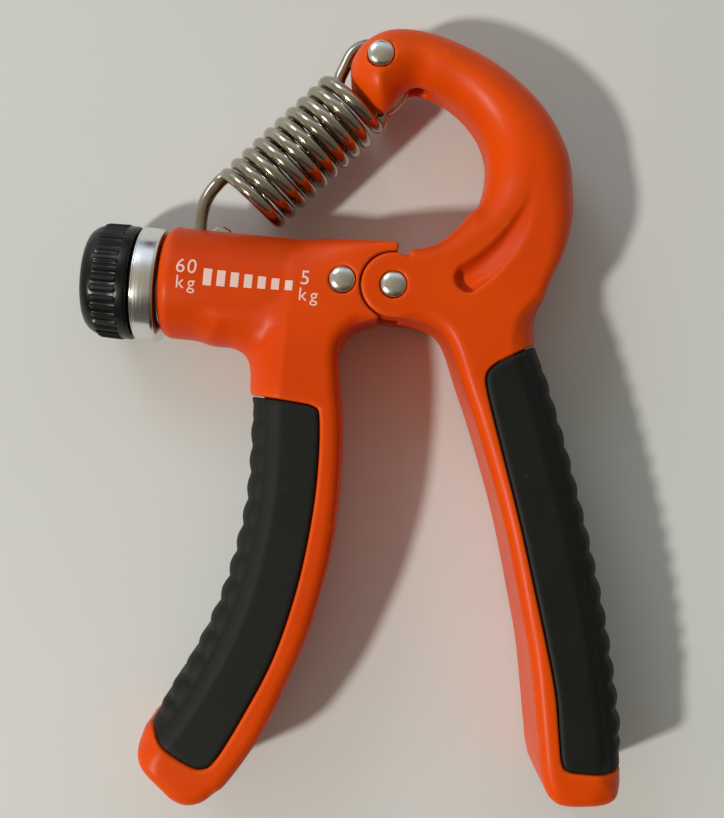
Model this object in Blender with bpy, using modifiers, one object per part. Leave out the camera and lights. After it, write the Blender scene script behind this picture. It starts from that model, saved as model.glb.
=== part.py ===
# Adjustable hand grip strengthener: a fixed handle with a barrel, a moving handle
# with a C-shaped arm, a tension spring between them and a screw adjuster.
# Dimensions are millimetres, scaled by MM to scene metres where geometry is made.
# The tool lies on its flat back:
#   origin  on the hinge pivot axis, on the resting plane
#   +X      along the barrel, from the knob towards the pivot
#   +Y      from the barrel up to the C-shaped arm
#   +Z      up, out of the front face
# Pieces hang under an "assembly" empty on the mid-plane, so z = 0 there is mid-depth.
import math

import bmesh
import bpy
from mathutils import Vector

MM = 0.001

# ------------------------------------------------------------ dimensions (mm)
HALF = 12.0                  # half depth of hinge block and grips
ARM_HALF = 9.6               # half depth of the C arm
GAP = 0.35                   # running clearance between pieces
OVER = 2.0                   # how far a cutter runs past what it cuts

BARREL_Y = -2.6              # barrel axis, below the pivot
BARREL_R = 11.45
BARREL_X = (-46.4, -15.0)    # mouth and closed end
ADJUSTER_Y = -3.5            # axis of bore, screw, collar and knob
BORE_R = 8.5
BORE_END = -16.4
SLOT_HALF = 3.05             # half width of the slot in the barrel's +Y side
SLOT_X = (-43.4, -16.8)

EAR_R = 6.3                  # hinge ears of the moving handle
CUP_R = 6.85                 # matching shoulder in the fixed handle
EAR_IN = 3.75                # inner face of each ear, from the mid-plane
LINK_HALF = 2.5              # half thickness of the steel link
LINK_R = 5.4
LINK_X = -14.2               # far end of the link
LINK_CORNER = 1.0            # corner cut at that end
PIN_R = 2.45                 # the three cross pins
PIN_DOME = 0.9               # height of a pin's domed front
HOLE_R = PIN_R + GAP
PIVOT = (0.0, 0.0)
LINK_RIVET = (-10.0, 0.0)
ANCHOR = (-6.8, 45.3)        # pin that holds the spring in the arm
ARM_SLOT_HALF = 2.1          # half width of the slot between the arm's two ears
WASHER_GAP = 0.32            # clearance on each face of a pivot washer

PAD_T = 2.0                  # rubber thickness
PAD_BUMP = 0.55              # height of the finger ribs
PAD_PITCH = 5.3
PAD_PLAIN = 3.0              # length without ribs at each end
PAD_END = 0.6                # how far the rubber stops short of the grip's edge line
CORE_LAP = 1.6               # how far the core runs past the pad's inner edge
ROOM_LAP = 3.0               # the same for the space it takes in the pad

KNOB_R = 11.7
KNOB_X = (-62.6, -51.9)
KNOB_RIBS = 26
RIB_CENTRE_X = -56.6
RIB_HALF = 2.6               # half length of the ribbed band
COLLAR_X = (-51.55, -46.75)
COLLAR_R = 11.6

SCREW_R = 3.0
SCREW_ROOT_R = 2.5
SCREW_LEAD = 1.5
THREAD_X = (-42.3, -18.4)
SHOULDER_R = 4.5             # plain part of the screw, in the collar
SCREW_TIP = -15.6
GROOVE_X = (-44.25, -43.45)  # groove for the retaining clip
BUSH_R = 4.2                 # bush around the screw's tip

CARRIAGE_X = (-39.2, -33.9)
CARRIAGE_R = 8.1
HOOK_CENTRE = (-37.3, 6.0)   # centre of the spring's lower hook
HOOK_R = 3.1
HOOK_PIN = (-37.1, 6.2)
HOOK_PIN_R = 1.2
HOOK_PIN_HALF = 2.6

WIRE_R = 1.3
COIL_R = 7.0
COIL_START = Vector((-30.9, 15.6, 0))   # centre of the coil's lowest turn
COIL_ANGLE = math.radians(48.5)
COIL_PITCH = 3.05
COIL_TURNS = 9.5
LOOP_R = 7.1
LOOP_OFF = 3.0               # loop centre to anchor pin

SHARP = 35.0                 # edges steeper than this stay sharp, in degrees
KNOB_SHARP = 30.0

# ------------------------------------------------------------------ materials
ORANGE = dict(finish="orange_plastic", color=(0.58, 0.032, 0.002), roughness=0.38)
RUBBER = dict(finish="black_rubber", color=(0.018, 0.019, 0.017), roughness=0.75)
BLACK = dict(finish="black_plastic", color=(0.012, 0.012, 0.012), roughness=0.32)
STEEL = dict(finish="plated_steel", color=(0.62, 0.60, 0.56), roughness=0.22, metallic=1.0)
ALUMINIUM = dict(finish="aluminium", color=(0.78, 0.79, 0.80), roughness=0.28, metallic=1.0)
ZINC = dict(finish="zinc_steel", color=(0.48, 0.49, 0.50), roughness=0.4, metallic=1.0)
NYLON = dict(finish="white_nylon", color=(0.75, 0.74, 0.70), roughness=0.5)


def material(piece, finish, color, roughness, metallic=0.0):
    """Each piece has its own material, named after the piece and its finish."""
    made = bpy.data.materials.new(piece + "_" + finish)
    made.use_nodes = True
    inputs = made.node_tree.nodes["Principled BSDF"].inputs
    inputs["Base Color"].default_value = (*color, 1.0)
    inputs["Roughness"].default_value = roughness
    inputs["Metallic"].default_value = metallic
    made.diffuse_color = (*color, 1.0)
    return made


# ---------------------------------------------------------------- clean start
for old in list(bpy.data.objects):
    bpy.data.objects.remove(old, do_unlink=True)
for old in list(bpy.data.collections):
    bpy.data.collections.remove(old)


def new_collection(name):
    made = bpy.data.collections.new(name)
    bpy.context.scene.collection.children.link(made)
    return made


PARTS = new_collection("hand_grip_strengthener")
CUTTERS = new_collection("cutters")
ASSEMBLY = bpy.data.objects.new("assembly", None)
ASSEMBLY.location = (0, 0, HALF * MM)
PARTS.objects.link(ASSEMBLY)


# ---------------------------------------------------- placing and combining
def finish(piece, look, sharp=None):
    """Puts a finished piece under the assembly, smooth shaded if `sharp` is given."""
    PARTS.objects.link(piece)
    piece.data.materials.append(material(piece.name, **look))
    piece.parent = ASSEMBLY
    if sharp is not None:
        piece.data.shade_smooth()
        piece.data.set_sharp_from_angle(angle=math.radians(sharp))


def boolean(target, helper, operation):
    """Adds a boolean to the target and stows its helper among the cutters."""
    CUTTERS.objects.link(helper)
    helper.hide_render = True
    helper.display_type = "WIRE"
    helper.parent = ASSEMBLY
    modifier = target.modifiers.new(operation.lower(), "BOOLEAN")
    modifier.object = helper
    modifier.operation = operation
    modifier.solver = "EXACT"


def cut(target, helper):
    boolean(target, helper, "DIFFERENCE")


def join(target, helper):
    boolean(target, helper, "UNION")


# ------------------------------------------------------------- flat outlines
def smooth(points, steps, closed=False):
    """Catmull-Rom curve through (x, y) stations."""
    count = len(points)
    out = []
    for i in range(count if closed else count - 1):
        start, end = points[i], points[(i + 1) % count]
        before = points[i - 1] if closed or i > 0 else start
        after = points[(i + 2) % count] if closed or i + 2 < count else end
        for step in range(steps):
            t = step / steps
            out.append(tuple(
                (2 * t**3 - 3 * t**2 + 1) * start[k]
                + (t**3 - 2 * t**2 + t) * ((end[k] - before[k]) / 2.0)
                + (-2 * t**3 + 3 * t**2) * end[k]
                + (t**3 - t**2) * ((after[k] - start[k]) / 2.0)
                for k in (0, 1)))
    if not closed:
        out.append(points[-1])
    return out


def arc(radius, start, end, steps):
    """Points on an arc about the origin, between two angles in degrees."""
    angles = [math.radians(start + (end - start) * i / steps) for i in range(steps + 1)]
    return [(radius * math.cos(a), radius * math.sin(a)) for a in angles]


def counterclockwise(loop):
    area = sum(a[0] * b[1] - b[0] * a[1] for a, b in zip(loop, loop[1:] + loop[:1]))
    return loop if area > 0 else loop[::-1]


def path_length(path):
    return sum(math.dist(a, b) for a, b in zip(path, path[1:]))


def point_along(path, distance):
    """Point at an arc length along an open polyline."""
    for a, b in zip(path, path[1:]):
        span = math.dist(a, b)
        if distance <= span:
            return tuple(a[k] + (b[k] - a[k]) * distance / span for k in (0, 1))
        distance -= span
    return path[-1]


def offset(path, distance):
    """An open polyline moved sideways (positive = to its left)."""
    out = []
    for i, (x, y) in enumerate(path):
        a, b = path[max(i - 1, 0)], path[min(i + 1, len(path) - 1)]
        dx, dy = b[0] - a[0], b[1] - a[1]
        span = math.hypot(dx, dy)
        out.append((x - dy / span * distance, y + dx / span * distance))
    return out


def ribbed(path, height):
    """Scallops along a smooth path; positive height = to the path's right."""
    total = path_length(path)
    count = int(total / PAD_PITCH) * 3
    right = offset(path, -1.0)
    right_total = path_length(right)
    out = []
    for i in range(count + 1):
        s = PAD_END + (total - 2 * PAD_END) * i / count
        x, y = point_along(path, s)
        right_x, right_y = point_along(right, s * right_total / total)
        dx, dy = right_x - x, right_y - y
        span = math.hypot(dx, dy)
        on_ribs = PAD_PLAIN < s < total - PAD_PLAIN
        rise = height * abs(math.sin(math.pi * (i / 3.0))) if on_ribs else 0.0
        out.append((x + dx / span * rise, y + dy / span * rise))
    return out


# -------------------------------------------------------------- basic solids
def mesh_object(name, bm):
    mesh = bpy.data.meshes.new(name)
    bm.to_mesh(mesh)
    bm.free()
    return bpy.data.objects.new(name, mesh)


def curve_solid(name, points, closed, **settings):
    """Mesh of a poly curve through (x, y, z) points; dimensions must lead the settings."""
    curve = bpy.data.curves.new(name, "CURVE")
    for key, value in settings.items():
        setattr(curve, key, value)
    curve.resolution_u = 1
    curve.render_resolution_u = 0
    spline = curve.splines.new("POLY")
    spline.points.add(len(points) - 1)
    for point, (x, y, z) in zip(spline.points, points):
        point.co = (x * MM, y * MM, z * MM, 1.0)
    spline.use_cyclic_u = closed
    source = bpy.data.objects.new(name, curve)
    bpy.context.scene.collection.objects.link(source)

    depsgraph = bpy.context.evaluated_depsgraph_get()
    depsgraph.update()
    raw = bpy.data.meshes.new_from_object(source.evaluated_get(depsgraph))
    bm = bmesh.new()
    bm.from_mesh(raw)
    bmesh.ops.remove_doubles(bm, verts=bm.verts, dist=0.000004)
    bmesh.ops.recalc_face_normals(bm, faces=bm.faces)
    bpy.data.objects.remove(source, do_unlink=True)
    bpy.data.curves.remove(curve)
    bpy.data.meshes.remove(raw)
    return mesh_object(name, bm)


def slab(name, loop, half, bevel=0.0, segments=1):
    """A flat outline with rounded edges, `half` thick each side of the mid-plane."""
    points = [(x, y, 0.0) for x, y in counterclockwise(loop)]
    return curve_solid(name, points, True, dimensions="2D", fill_mode="BOTH",
                       extrude=(half - bevel) * MM, bevel_depth=bevel * MM,
                       offset=-bevel * MM, bevel_resolution=segments - 1)


def wire(name, points):
    """A piece of spring wire through 3-D points."""
    return curve_solid(name, points, False, dimensions="3D", fill_mode="FULL",
                       bevel_depth=WIRE_R * MM, bevel_resolution=2,
                       use_fill_caps=True, twist_mode="MINIMUM")


def rod(name, radius, start, end, segments):
    """A cylinder between two points."""
    start, end = Vector(start), Vector(end)
    bm = bmesh.new()
    bmesh.ops.create_cone(bm, cap_ends=True, segments=segments, radius1=radius * MM,
                          radius2=radius * MM, depth=(end - start).length * MM)
    made = mesh_object(name, bm)
    made.location = (start + end) / 2 * MM
    made.rotation_mode = "QUATERNION"
    made.rotation_quaternion = (end - start).to_track_quat("Z", "Y")
    return made


def rod_x(name, radius, y, x0, x1, segments):
    """A cylinder along X on the mid-plane."""
    return rod(name, radius, (x0, y, 0), (x1, y, 0), segments)


def rod_z(name, radius, centre, half, segments):
    """A cylinder along Z, `half` long each side of the mid-plane."""
    return rod(name, radius, (*centre, -half), (*centre, half), segments)


def block(name, *limits):
    """A box between two limits on each of X, Y and Z."""
    bm = bmesh.new()
    bmesh.ops.create_cube(bm, size=1.0)
    for vert in bm.verts:
        for axis, (low, high) in enumerate(limits):
            vert.co[axis] = ((low + high) / 2 + vert.co[axis] * (high - low)) * MM
    return mesh_object(name, bm)


def turned(name, profile, segments, closed=False, centre=PIVOT):
    """A piece turned about Z from (radius, height) stations."""
    bm = bmesh.new()
    verts = [bm.verts.new((radius * MM, 0, height * MM)) for radius, height in profile]
    for a, b in zip(verts, verts[1:]):
        bm.edges.new((a, b))
    if closed:
        bm.edges.new((verts[-1], verts[0]))
    made = mesh_object(name, bm)
    screw = made.modifiers.new("turn", "SCREW")
    screw.axis = "Z"
    screw.angle = math.tau
    screw.steps = screw.render_steps = segments
    screw.use_merge_vertices = True
    screw.merge_threshold = 0.00001
    screw.use_smooth_shade = True
    made.location = Vector((*centre, 0.0)) * MM
    return made


def turned_x(name, stations, segments, closed=False):
    """A piece turned about the adjuster's axis from (radius, x) stations."""
    profile = [(radius, -x) for radius, x in stations]
    made = turned(name, profile, segments, closed, centre=(0.0, ADJUSTER_Y))
    made.rotation_euler = (0, -math.pi / 2, 0)      # local +Z points to -X
    return made


def slab_across_x(name, loop, half, x):
    """A slab standing square to the adjuster's axis, centred on x."""
    made = slab(name, loop, half)
    made.rotation_euler = (0, math.pi / 2, 0)
    made.location = Vector((x, ADJUSTER_Y, 0)) * MM
    return made


# ------------------------------------------------ outlines: (x, y) stations
# fixed handle: outer (knob-side) edge of its grip, top to bottom
LEFT_OUTER = smooth([
    (-25.6, -23.6), (-24.8, -33.5), (-24.6, -44.0), (-25.7, -54.5),
    (-28.0, -65.5), (-31.6, -75.6), (-35.6, -84.0), (-39.2, -90.2)], 3)
# round the grip's lower end
LEFT_END = [
    (-40.7, -92.0), (-41.5, -95.8), (-40.2, -99.0), (-35.4, -103.2),
    (-33.0, -104.9), (-30.2, -105.5), (-27.4, -104.6), (-25.2, -102.6)]
# up the inner edge to the hinge
LEFT_INNER = [
    (-23.4, -101.0), (-19.8, -95.3), (-16.4, -88.7), (-13.3, -80.4),
    (-10.2, -70.9), (-8.2, -61.5), (-7.0, -53.4), (-6.6, -44.7),
    (-6.8, -36.2), (-7.5, -27.6), (-8.9, -19.5), (-9.6, -14.2),
    (-8.9, -11.2), (-6.9, -8.7), (-4.6, -7.5), (-2.5, -6.85)]
# top of the hinge block, towards the knob
LEFT_TOP = [(0.35, 8.1), (-8.0, 8.4), (-16.0, 8.6), (-22.5, 8.7)]
LEFT_LOOP = (smooth(LEFT_END + LEFT_INNER, 2) + [(0.35, 0.0)] + smooth(LEFT_TOP, 2)
             + [(-25.6, 4.0), (-25.9, -12.0)] + LEFT_OUTER)

# edge of the fixed handle's rubber on the front face, top to bottom
LEFT_PAD_EDGE = smooth([
    (-23.0, -24.3), (-16.4, -24.7), (-13.2, -25.2), (-11.9, -27.0),
    (-11.2, -36.0), (-11.4, -47.0), (-13.0, -60.9), (-16.3, -74.9),
    (-21.3, -87.1), (-25.4, -95.3), (-27.6, -97.3), (-30.6, -97.0),
    (-36.2, -94.0), (-38.4, -91.2)], 2)

# web between the barrel's underside and the fixed grip
FILLET_LOOP = [
    (-25.0, -8.0), (-36.0, -8.0), (-35.0, -13.9), (-31.6, -14.3), (-29.4, -15.4),
    (-27.6, -17.2), (-26.5, -20.0), (-25.4, -24.0), (-20.0, -20.0)]

# moving handle: outer edge of its grip, top to bottom
RIGHT_OUTER = smooth([
    (29.4, -8.6), (31.9, -14.6), (36.2, -25.3), (40.5, -37.0), (44.4, -48.5),
    (48.1, -60.6), (51.2, -73.0), (53.4, -83.5), (54.4, -89.5)], 3)
RIGHT_END = [
    (54.9, -93.6), (54.3, -95.9), (52.4, -97.3), (48.4, -98.0),
    (44.2, -98.4), (41.6, -97.9), (39.6, -96.0), (38.2, -92.2)]
RIGHT_INNER = [
    (37.1, -86.7), (34.2, -71.8), (31.6, -62.2), (26.2, -44.3), (19.6, -27.2),
    (15.4, -17.7), (12.8, -11.6), (10.6, -8.4), (7.8, -6.9), (4.0, -EAR_R)]
RIGHT_TOP = [(2.7, 7.2), (6.5, 8.5), (9.6, 10.0), (12.2, 12.2), (14.6, 15.4)]
RIGHT_LOOP = (RIGHT_OUTER + smooth(RIGHT_END + RIGHT_INNER, 2)
              + arc(EAR_R, -90, -290, 20)
              + [(2.25, 5.9)] + smooth(RIGHT_TOP, 2)
              + [(24.0, 14.0), (28.2, 2.5), (28.6, -3.0)])

RIGHT_PAD_EDGE = smooth([
    (27.2, -9.8), (24.2, -11.5), (21.2, -13.5), (19.8, -15.6),
    (20.2, -18.7), (22.8, -26.2), (28.9, -43.2), (33.2, -56.4),
    (36.2, -65.8), (39.2, -76.1), (40.8, -84.9), (41.8, -89.7),
    (43.4, -91.0), (47.0, -91.1), (50.6, -91.0), (53.2, -90.8)], 2)

# C arm: outer edge from the hinge block over the top to the bulb, and back inside
ARM_LOOP = smooth([
    (24.0, -4.0), (28.0, -0.6), (30.4, 3.6), (32.6, 8.6), (34.2, 14.2),
    (34.8, 19.8), (33.9, 27.8), (31.8, 33.2), (28.0, 38.8), (22.8, 43.6),
    (16.8, 47.6), (10.4, 50.4), (3.8, 52.3), (-2.2, 52.8), (-7.0, 51.8),
    (-10.7, 49.0), (-12.5, 45.3), (-12.2, 41.6), (-10.5, 38.4), (-7.9, 36.0),
    (-5.2, 35.5), (-3.3, 37.2), (-1.6, 39.6), (1.6, 40.8), (5.9, 40.0),
    (9.6, 38.0), (13.0, 35.0), (15.4, 31.6), (16.8, 27.6), (16.9, 22.6),
    (15.7, 18.0), (13.6, 14.0), (11.0, 10.0), (9.0, 4.0), (14.0, -4.0)], 2, closed=True)
# slot that parts the bulb into two ears
ARM_SLOT_LOOP = [
    (-20, 29.5), (3.5, 29.5), (3.5, 45.0), (3.0, 48.6), (1.4, 52.0),
    (0.6, 55.0), (-20, 55.0)]

LUG_LOOP = [
    (-38.9, 1.8), (-33.3, 1.8), (-33.3, 7.6), (-33.9, 8.9),
    (-35.2, 9.5), (-36.4, 9.4), (-38.0, 8.2), (-38.9, 6.6)]


# -------------------------------------------------------------------- handles
def add_grip(handle, side, outer, edge, inward):
    """Rubber pad of one grip, and the handle's pocket and core that carry it.

    `inward` is 1 where the inside of the grip lies towards +X, -1 towards -X.
    """
    pad = slab(side + "_grip_pad", ribbed(outer, PAD_BUMP * inward) + edge[::-1], HALF, 0.7)
    # the pocket is a little larger than the pad and runs past the outer edge
    cut(handle, slab(side + "_pocket",
                     offset(outer, -4.0 * inward) + offset(edge, GAP * inward)[::-1],
                     HALF + OVER))
    # the core is set in from the rubber's outer edge, front and back
    core_outer = offset(outer, PAD_T * inward)[1:-1]
    core_inner = offset(edge, CORE_LAP * inward)[2:-2]
    join(handle, slab(side + "_core", core_outer + core_inner[::-1], HALF - PAD_T))
    room_outer = offset(outer, (PAD_T - GAP) * inward)
    room_inner = offset(edge, ROOM_LAP * inward)
    cut(pad, slab(side + "_core_room", room_outer + room_inner[::-1], HALF - PAD_T + GAP))
    finish(pad, RUBBER, SHARP)


def build_fixed_handle():
    handle = slab("left_handle", LEFT_LOOP, HALF, 2.0)
    join(handle, rod_x("barrel_tube", BARREL_R, BARREL_Y, *BARREL_X, 40))
    join(handle, slab("barrel_fillet", FILLET_LOOP, 7.5, 2.0, 2))
    add_grip(handle, "left", LEFT_OUTER, LEFT_PAD_EDGE, 1)
    cut(handle, rod_x("barrel_bore", BORE_R, ADJUSTER_Y, BARREL_X[0] - OVER, BORE_END, 40))
    cut(handle, rod_x("tip_seat", BUSH_R + GAP, ADJUSTER_Y, BORE_END - 1, -14.95, 20))
    cut(handle, block("carriage_slot", SLOT_X, (0.0, 12.0), (-SLOT_HALF, SLOT_HALF)))
    cut(handle, rod_z("hinge_cup", CUP_R, PIVOT, HALF + OVER, 48))
    cut(handle, block("link_pocket", (LINK_X - GAP, 6.0), (-LINK_R - GAP, LINK_R + GAP),
                      (-LINK_HALF - GAP, LINK_HALF + GAP)))
    cut(handle, rod_z("link_rivet_hole", HOLE_R, LINK_RIVET, HALF + OVER, 20))
    finish(handle, ORANGE, SHARP)


def build_moving_handle():
    handle = slab("right_handle", RIGHT_LOOP, HALF, 2.0)
    join(handle, slab("c_arm", ARM_LOOP, ARM_HALF, 2.4))
    add_grip(handle, "right", RIGHT_OUTER, RIGHT_PAD_EDGE, -1)
    # the space between the two hinge ears, open towards the fixed handle
    cut(handle, rod_z("ear_slot", EAR_R + 0.05, PIVOT, EAR_IN, 40))
    cut(handle, block("ear_slot_open", (-10.0, 0.2), (-9.0, 9.0), (-EAR_IN, EAR_IN)))
    cut(handle, rod_z("pivot_hole", HOLE_R, PIVOT, HALF + OVER, 20))
    cut(handle, slab("arm_slot", ARM_SLOT_LOOP, ARM_SLOT_HALF))
    cut(handle, rod_z("anchor_hole", HOLE_R, ANCHOR, HALF, 20))
    finish(handle, ORANGE, SHARP)


# ---------------------------------------------------------------------- hinge
def build_link():
    """Steel plate joining the two handles: round at the pivot, corners cut at -X."""
    loop = arc(LINK_R, -90, 90, 12) + [
        (LINK_X + LINK_CORNER, LINK_R), (LINK_X, LINK_R - LINK_CORNER),
        (LINK_X, -LINK_R + LINK_CORNER), (LINK_X + LINK_CORNER, -LINK_R)]
    link = slab("hinge_link", loop, LINK_HALF)
    for i, centre in enumerate((PIVOT, LINK_RIVET)):
        cut(link, rod_z("link_hole_%d" % i, HOLE_R, centre, 5, 20))
    finish(link, ZINC, SHARP)


def build_pin(name, centre, back, front):
    """A cross pin, domed at the front and flat at the back."""
    profile = [(0.0, front + PIN_DOME)]
    for i in range(1, 5):
        angle = math.radians(90 - 90 * i / 4)
        profile.append((PIN_R * math.cos(angle), front + PIN_DOME * math.sin(angle)))
    profile += [(PIN_R, front - 0.6), (PIN_R, back), (0.0, back)]
    finish(turned(name, profile, 20, centre=centre), STEEL)


def build_pivot_washers():
    low, high = LINK_HALF + WASHER_GAP, EAR_IN - WASHER_GAP
    profile = [(HOLE_R, high), (LINK_R, high), (LINK_R, low), (HOLE_R, low)]
    for side, turn in (("front", 0.0), ("back", math.pi)):
        washer = turned("pivot_washer_" + side, profile, 20, closed=True)
        washer.rotation_euler = (turn, 0, 0)
        finish(washer, NYLON)


# ------------------------------------------- adjuster: (radius, x) stations
def build_collar():
    x0, x1 = COLLAR_X
    finish(turned_x("collar_ring", [
        (4.9, x0), (COLLAR_R - 0.5, x0), (COLLAR_R, x0 + 0.5), (COLLAR_R, x1 - 0.4),
        (COLLAR_R - 0.4, x1), (8.1, x1), (8.1, -44.6), (4.9, -44.6)],
        40, closed=True), ALUMINIUM)


def build_adjusting_screw():
    """From the knob: hollow spigot, shoulder with clip groove, thread, tip journal."""
    groove0, groove1 = GROOVE_X
    stations = [
        (0.0, -54.0), (1.95, -54.0), (1.95, -58.4), (3.2, -58.4), (3.2, -53.2),
        (SHOULDER_R, -53.2), (SHOULDER_R, groove0), (3.6, groove0), (3.6, groove1),
        (SHOULDER_R, groove1), (SHOULDER_R, -42.9), (SCREW_ROOT_R, -42.9)]
    x, thread_end = THREAD_X
    while x < thread_end:
        stations += [(SCREW_R, x), (SCREW_ROOT_R, x + SCREW_LEAD / 2)]
        x += SCREW_LEAD
    stations += [(2.0, -18.2), (2.0, SCREW_TIP), (0.0, SCREW_TIP)]
    finish(turned_x("adjusting_screw", stations, 12), STEEL)


def build_screw_rings():
    """The bush round the screw's tip, and the washer between collar and knob."""
    finish(turned_x("screw_tip_bush", [
        (2.4, -17.5), (BUSH_R, -17.5), (BUSH_R, -15.3), (2.4, -15.3)],
        20, closed=True), NYLON)
    finish(turned_x("thrust_washer", [
        (4.9, -52.65), (7.4, -52.65), (7.4, -51.9), (4.9, -51.9)],
        24, closed=True), NYLON)


def build_retaining_clip():
    """E-clip in the screw's groove, behind the collar."""
    loop = arc(6.0, 50, 310, 16) + arc(4.0, 310, 50, 14)
    finish(slab_across_x("retaining_clip", loop, 0.2, sum(GROOVE_X) / 2), ZINC)


def build_knob():
    """Domed shell with a ribbed band, open to the screw inside."""
    x0, x1 = KNOB_X
    knob = turned_x("knob", [
        (3.6, -59.6), (8.4, -59.6), (8.4, x0 + 1.2), (9.3, x0 + 1.15),
        (10.3, x0 + 1.75), (10.9, x0 + 2.7), (11.15, x0 + 3.8),
        (KNOB_R - 0.15, x1 - 0.6), (KNOB_R - 0.6, x1), (7.9, x1), (7.9, -53.0),
        (5.0, -53.0), (5.0, -53.6), (3.6, -53.6)], 40, closed=True)
    band = []
    for i in range(KNOB_RIBS):
        # two points on the crest of each rib and one in the groove after it
        for shift, radius in ((-0.25, KNOB_R), (0.25, KNOB_R), (0.5, KNOB_R - 0.35)):
            angle = math.tau * i / KNOB_RIBS + shift * math.tau / KNOB_RIBS
            band.append((radius * math.cos(angle), radius * math.sin(angle)))
    ribs = slab_across_x("knob_ribs", band, RIB_HALF, RIB_CENTRE_X)
    cut(ribs, rod_x("knob_ribs_bore", 9.4, ADJUSTER_Y, -62, -53, 24))
    join(knob, ribs)
    finish(knob, BLACK, KNOB_SHARP)

    cap = turned_x("knob_end_cap", [
        (0.0, x0), (4.0, x0 + 0.08), (6.6, x0 + 0.35), (8.0, x0 + 0.8),
        (8.0, -61.1), (0.0, -61.1)], 32)
    finish(cap, BLACK, KNOB_SHARP)


def build_knob_screw():
    """Holds the knob on the end of the adjusting screw, under the cap."""
    finish(turned_x("knob_screw", [
        (0.0, -60.75), (4.6, -60.75), (5.0, -60.5), (5.0, -59.95),
        (1.6, -59.95), (1.6, -54.4), (0.0, -54.4)], 16), ZINC)


# ------------------------------------------------------------------- carriage
def build_carriage():
    """Round body on the screw, with two lugs that stand up through the barrel's slot."""
    x0, x1 = CARRIAGE_X
    carriage = rod_x("spring_carriage", CARRIAGE_R, ADJUSTER_Y, x0, x1, 28)
    join(carriage, slab("carriage_lugs", LUG_LOOP, 2.65, 0.3))
    cut(carriage, block("hook_room", (x0 - 3, x1 + 3), (1.15, 14.0),
                        (-WIRE_R - GAP, WIRE_R + GAP)))
    cut(carriage, rod_x("nut_bore", SCREW_R + GAP, ADJUSTER_Y, x0 - OVER, x1 + OVER, 20))
    cut(carriage, rod_z("hook_pin_hole", HOOK_PIN_R + 0.32, HOOK_PIN, 5, 16))
    finish(carriage, ZINC, SHARP)

    finish(turned("hook_pin", [
        (0.0, HOOK_PIN_HALF), (HOOK_PIN_R, HOOK_PIN_HALF),
        (HOOK_PIN_R, -HOOK_PIN_HALF), (0.0, -HOOK_PIN_HALF)],
        16, centre=HOOK_PIN), STEEL)


# --------------------------------------------------------------------- spring
COIL_AXIS = Vector((math.cos(COIL_ANGLE), math.sin(COIL_ANGLE), 0))
COIL_SIDE = Vector((-math.sin(COIL_ANGLE), math.cos(COIL_ANGLE), 0))
Z_AXIS = Vector((0, 0, 1))


def helix(turn):
    """Point on the coil, a number of turns from its lower end."""
    angle = math.tau * turn
    return (COIL_START + COIL_AXIS * COIL_PITCH * turn
            + (COIL_SIDE * math.cos(angle) + Z_AXIS * math.sin(angle)) * COIL_R)


def wire_path(control, steps=2):
    """Catmull-Rom through 3-D control points."""
    out = []
    for i in range(len(control) - 1):
        p0 = control[max(i - 1, 0)]
        p1, p2 = control[i], control[i + 1]
        p3 = control[min(i + 2, len(control) - 1)]
        for step in range(steps):
            t = step / steps
            out.append(0.5 * ((2 * p1) + (p2 - p0) * t
                              + (2 * p0 - 5 * p1 + 4 * p2 - p3) * t * t
                              + (-p0 + 3 * p1 - 3 * p2 + p3) * t ** 3))
    out.append(control[-1])
    return out


def trim(path, start, end):
    """An open polyline with its two ends shortened."""
    total = sum((b - a).length for a, b in zip(path, path[1:]))
    out, run = [], 0.0
    for a, b in zip(path, path[1:]):
        span = (b - a).length
        if not out and run + span > start:
            out.append(a + (b - a) * ((start - run) / span))
        if start < run < total - end:
            out.append(a)
        if run + span >= total - end:
            out.append(a + (b - a) * ((total - end - run) / span))
            break
        run += span
    return out


def build_lower_hook():
    control = []
    for degrees in (30, 0, -30, -60, -90, -120, -150, -180):
        angle = math.radians(degrees)
        control.append(Vector((HOOK_CENTRE[0] + HOOK_R * math.cos(angle),
                               HOOK_CENTRE[1] + HOOK_R * math.sin(angle), 0)))
    # the shank, from the hook up to the start of the coil
    control += [Vector((-40.45, 9.0, 0)), Vector((-40.35, 12.2, 0)),
                Vector((-39.4, 15.8, -0.2)), Vector((-37.9, 18.5, -0.4)),
                helix(0.0), helix(0.06)]
    finish(wire("spring_lower_hook", trim(wire_path(control), 0.0, 4.7)), STEEL, SHARP)


def build_coil():
    points = [helix(i / 10.0) for i in range(int(COIL_TURNS * 10) - 1)]
    points += [helix(COIL_TURNS - 0.13), helix(COIL_TURNS - 0.06)]
    finish(wire("spring_coil", points), STEEL, SHARP)


def build_top_hook():
    """Loop round the anchor pin, centred on the line of pull."""
    anchor = Vector((*ANCHOR, 0))
    pull = (anchor - Vector((*HOOK_PIN, 0))).normalized()
    centre = anchor - pull * LOOP_OFF
    control = [helix(COIL_TURNS - 0.04),
               helix(COIL_TURNS - 0.02) + COIL_AXIS * 0.1,
               helix(COIL_TURNS) + COIL_AXIS * 0.9 + Z_AXIS * 0.5]
    for degrees in (-62, -40, -15, 15, 45, 75, 105, 135, 160, 185, 205):
        angle = math.radians(degrees)
        lift = 0.3 * max(0.0, (-degrees - 15) / 60.0)
        control.append(centre + Vector((LOOP_R * math.cos(angle),
                                        LOOP_R * math.sin(angle), lift)))
    finish(wire("spring_top_hook", trim(wire_path(control), 0.6, 0.0)), STEEL, SHARP)


# ---------------------------------------------------------------------- build
build_fixed_handle()
build_moving_handle()

build_link()
build_pin("pivot_rivet", PIVOT, -HALF, HALF)
build_pin("link_rivet", LINK_RIVET, -HALF + 0.2, HALF)
build_pin("anchor_rivet", ANCHOR, -ARM_HALF + 0.1, ARM_HALF)
build_pivot_washers()

build_collar()
build_adjusting_screw()
build_screw_rings()
build_retaining_clip()
build_knob()
build_knob_screw()
build_carriage()

build_lower_hook()
build_coil()
build_top_hook()

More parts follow.
